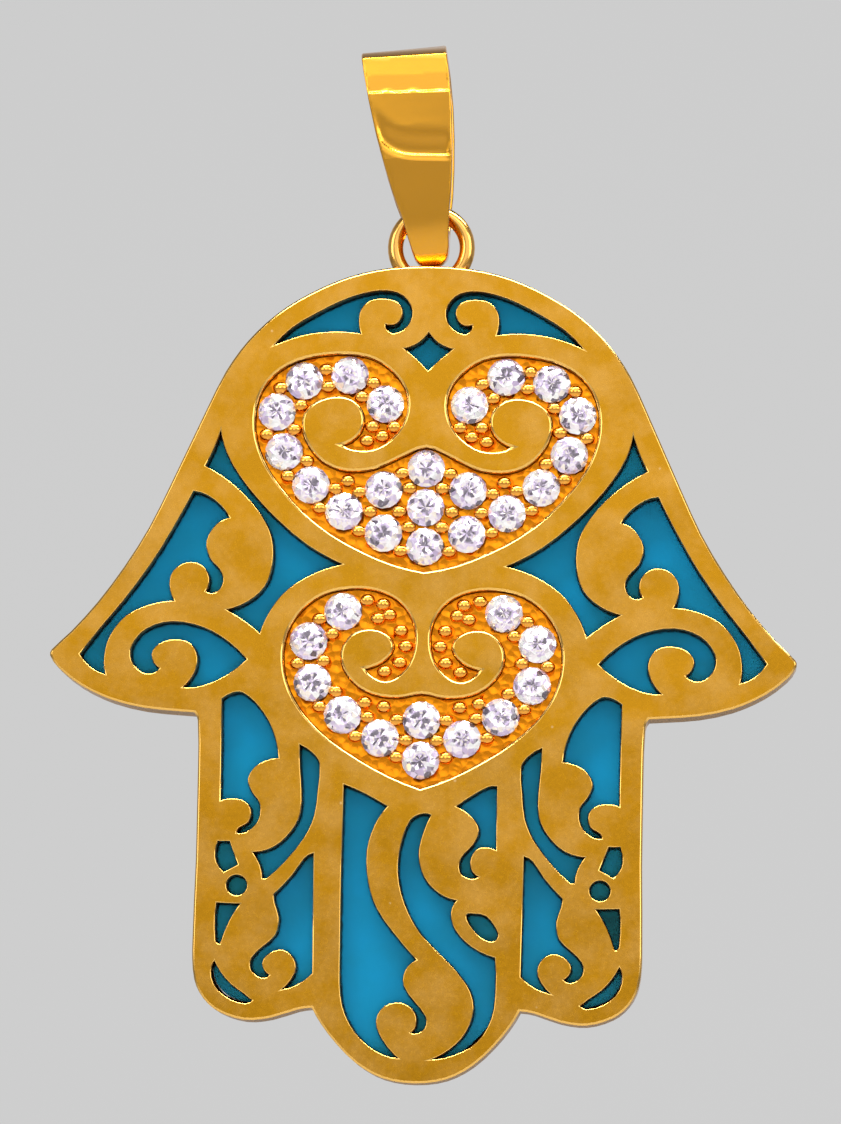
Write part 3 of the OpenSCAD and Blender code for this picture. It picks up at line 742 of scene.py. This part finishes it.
def work_plaque(shape):
    """Dishes the plaque in the bail's front, with a ledge at its lip, and nicks it above the crease."""
    cut_grid(shape, (0, 0, 1), GRID_UP)
    cut_grid(shape, (1, 0, 0), GRID_ACROSS)
    shape.normal_update()
    faces = set(front_faces(shape))
    for vert in shape.verts:
        if not all(f in faces for f in vert.link_faces):
            continue
        across, up = bail_place(vert.co)
        to_edge = TIP_HALF_WIDTH + WIDENING * up - abs(across)
        inside = eased(to_edge / EDGE_MARGIN - FLAT_MARGIN)
        crease_off = up - CREASE_UP + across * math.tan(CREASE_TURN)
        lip_off = vert.co.z - LIP_Z - LIP_CURL * max(0.0, (LIP_CURL_X - vert.co.x) / MM) ** 3 * MM
        deep = RUN_UP_DEEP * eased(lip_off / RUN_UP + 1) + LEDGE_DEEP * eased(lip_off / LEDGE_STEEP)
        deep *= 1 - eased((lip_off - DISH_FADES_FROM) / DISH_FADES_OVER)
        wear = max(0.0, noise.noise(Vector((vert.co.x / NICK_WEAR, 3.0, 0.0))) * 2)
        steep = NICK_STEEP * (1 + 0.8 * wear)
        nick = NICK_DEEP * eased(crease_off / steep) * (1 - held(crease_off / (FOLD_UP - CREASE_UP)))
        vert.co.y += inside * deep + held(to_edge / NICK_MARGIN) * nick


def sort_faces(shape):
    """Sorts the faces by their corners, since the cuts leave them in another order at each run."""
    shape.verts.index_update()
    for place, face in enumerate(sorted(shape.faces, key=lambda f: [v.index for v in f.verts])):
        face.index = place
    shape.faces.sort()


bail = clean_copy("bail", "tapered_bail")
bail.data.materials.append(
    bright_gold("gold_bent_and_polished", BAIL_GOLD, roughness=0.24, ripple_depth=0.006 * MM, film=0.6)
)
worked = bmesh.new()
worked.from_mesh(bail.data)
skew_creases(worked)
bmesh.ops.bevel(
    worked, geom=[e for e in worked.edges if edge_angle(e) > SHARP_TURN], offset=EDGE_ROUNDING,
    offset_type="OFFSET", segments=3, profile=0.5, affect="EDGES"
)
worked.normal_update()
work_plaque(worked)
sort_faces(worked)
worked.to_mesh(bail.data)
worked.free()
shade_evenly(bail, sharp_from=30)


# The studio
# A plain pale floor of paper under the hanging pendant, in a room with pale walls.
# The lamps are large and soft, above the pendant, in front of it and at its sides.

PAPER = "#D6D4D0"
FLOOR_Z = -160 * MM
FLOOR_HALF = 2000 * MM
# The camera looks from a little below the pendant's middle and from its right, through a long lens
CAMERA_AZIMUTH = math.radians(2.5)
CAMERA_ELEVATION = math.radians(-7)
CAMERA_ROLL = math.radians(1.117)
CAMERA_DISTANCE = 250 * MM
AIM = Vector((-0.145, -0.92, -19.64)) * MM
FRAME_HEIGHT = 43.02 * MM
# The longer side of the sensor, in millimetres
SENSOR = 36
# The walls' grey by direction, from in front of the pendant to behind it: dimmest at its sides
WALL_GREYS = ((0.0, 0.6), (0.3, 0.4), (0.6, 0.32), (1.0, 0.62))
# The room darkens overhead, over this range of steepness, to this share of the walls' grey
CEILING_FROM, CEILING_TO, CEILING_DIM = 0.45, 0.9, 0.2

camera_data = bpy.data.cameras.new("camera")
camera_data.sensor_width = SENSOR
camera_data.lens = SENSOR * CAMERA_DISTANCE / FRAME_HEIGHT
camera_data.clip_start, camera_data.clip_end = 0.01, 10
camera = bpy.data.objects.new("camera", camera_data)
bpy.context.scene.collection.objects.link(camera)
towards = Matrix.Rotation(CAMERA_AZIMUTH, 3, "Z") @ Vector(
    (0, math.cos(CAMERA_ELEVATION), -math.sin(CAMERA_ELEVATION))
)
camera.rotation_mode = "QUATERNION"
turn = towards.to_track_quat("-Z", "Y").to_matrix() @ Matrix.Rotation(CAMERA_ROLL, 3, "Z")
camera.rotation_quaternion = turn.to_quaternion()
camera.location = AIM - towards * CAMERA_DISTANCE
bpy.context.scene.camera = camera

floor_mesh = bpy.data.meshes.new("studio_floor")
corners = [(x * FLOOR_HALF, y * FLOOR_HALF, FLOOR_Z) for x, y in ((-1, -1), (1, -1), (1, 1), (-1, 1))]
floor_mesh.from_pydata(corners, [], [(0, 1, 2, 3)])
studio_floor = bpy.data.objects.new("studio_floor", floor_mesh)
bpy.context.scene.collection.objects.link(studio_floor)
paper = new_material("paper_pressed_matt")
paper_surface = add_node(paper, "ShaderNodeBsdfPrincipled", {"Base Color": linear(PAPER), "Roughness": 0.9})
add_node(paper, "ShaderNodeOutputMaterial", Surface=(paper_surface, 0))
floor_mesh.materials.append(paper)


def lamp(name, place, target, size, brightness):
    """A soft rectangular lamp that points at a target, as bright to the eye as it says."""
    data = bpy.data.lights.new(name, "AREA")
    data.shape = "RECTANGLE"
    data.size, data.size_y = size
    data.energy = brightness * math.pi * size[0] * size[1]
    made = bpy.data.objects.new(name, data)
    bpy.context.scene.collection.objects.link(made)
    made.location = place
    made.rotation_mode = "QUATERNION"
    made.rotation_quaternion = (Vector(target) - Vector(place)).to_track_quat("-Z", "Y")
    made.visible_camera = False
    return made


middle = Vector((0, 0, -20 * MM))
lamp("top_lamp", (0.03, -0.07, 0.2), middle, size=(0.4, 0.05), brightness=21.0)
lamp("front_lamp", (0.08, -0.45, 0.14), middle, size=(0.4, 0.25), brightness=0.65)
lamp("right_lamp", (0.36, -0.3, 0.1), middle, size=(0.25, 0.25), brightness=2.4)
lamp("left_lamp", (-0.36, -0.32, 0.1), middle, size=(0.25, 0.25), brightness=2.4)
lamp("floor_lamp", (0.0, -1.2, 0.8), (0.0, -1.2, FLOOR_Z), size=(1.8, 1.0), brightness=1.4)
# The low lamp lights the turquoise down in its windows and isn't mirrored in the gold
low_lamp = lamp("low_lamp", (0.02, -0.4, -0.12), middle, size=(0.4, 0.1), brightness=0.95)
low_lamp.visible_glossy = False
low_lamp.data.spread = math.radians(50)

world = bpy.data.worlds.new("studio_room")
bpy.context.scene.world = world
world.use_nodes = True
world.node_tree.nodes.clear()
direction = add_node(world, "ShaderNodeTexCoord")
axes = add_node(world, "ShaderNodeSeparateXYZ", Vector=(direction, "Generated"))
depth = add_node(world, "ShaderNodeMapRange", {"From Min": -1.0, "From Max": 1.0}, Value=(axes, "Y"))
walls = add_node(
    world, "ShaderNodeValToRGB", stops=[(place, (grey, grey, grey, 1)) for place, grey in WALL_GREYS],
    Fac=(depth, 0)
)
ceiling = add_node(
    world, "ShaderNodeMapRange",
    {"From Min": CEILING_FROM, "From Max": CEILING_TO, "To Min": 1.0, "To Max": CEILING_DIM},
    Value=(axes, "Z")
)
room = add_node(world, "ShaderNodeVectorMath", {"operation": "SCALE"}, _0=(walls, 0), Scale=(ceiling, 0))
glow = add_node(world, "ShaderNodeBackground", {"Strength": 1.0}, Color=(room, 0))
add_node(world, "ShaderNodeOutputWorld", Surface=(glow, 0))

bpy.context.scene.view_settings.view_transform = "Standard"
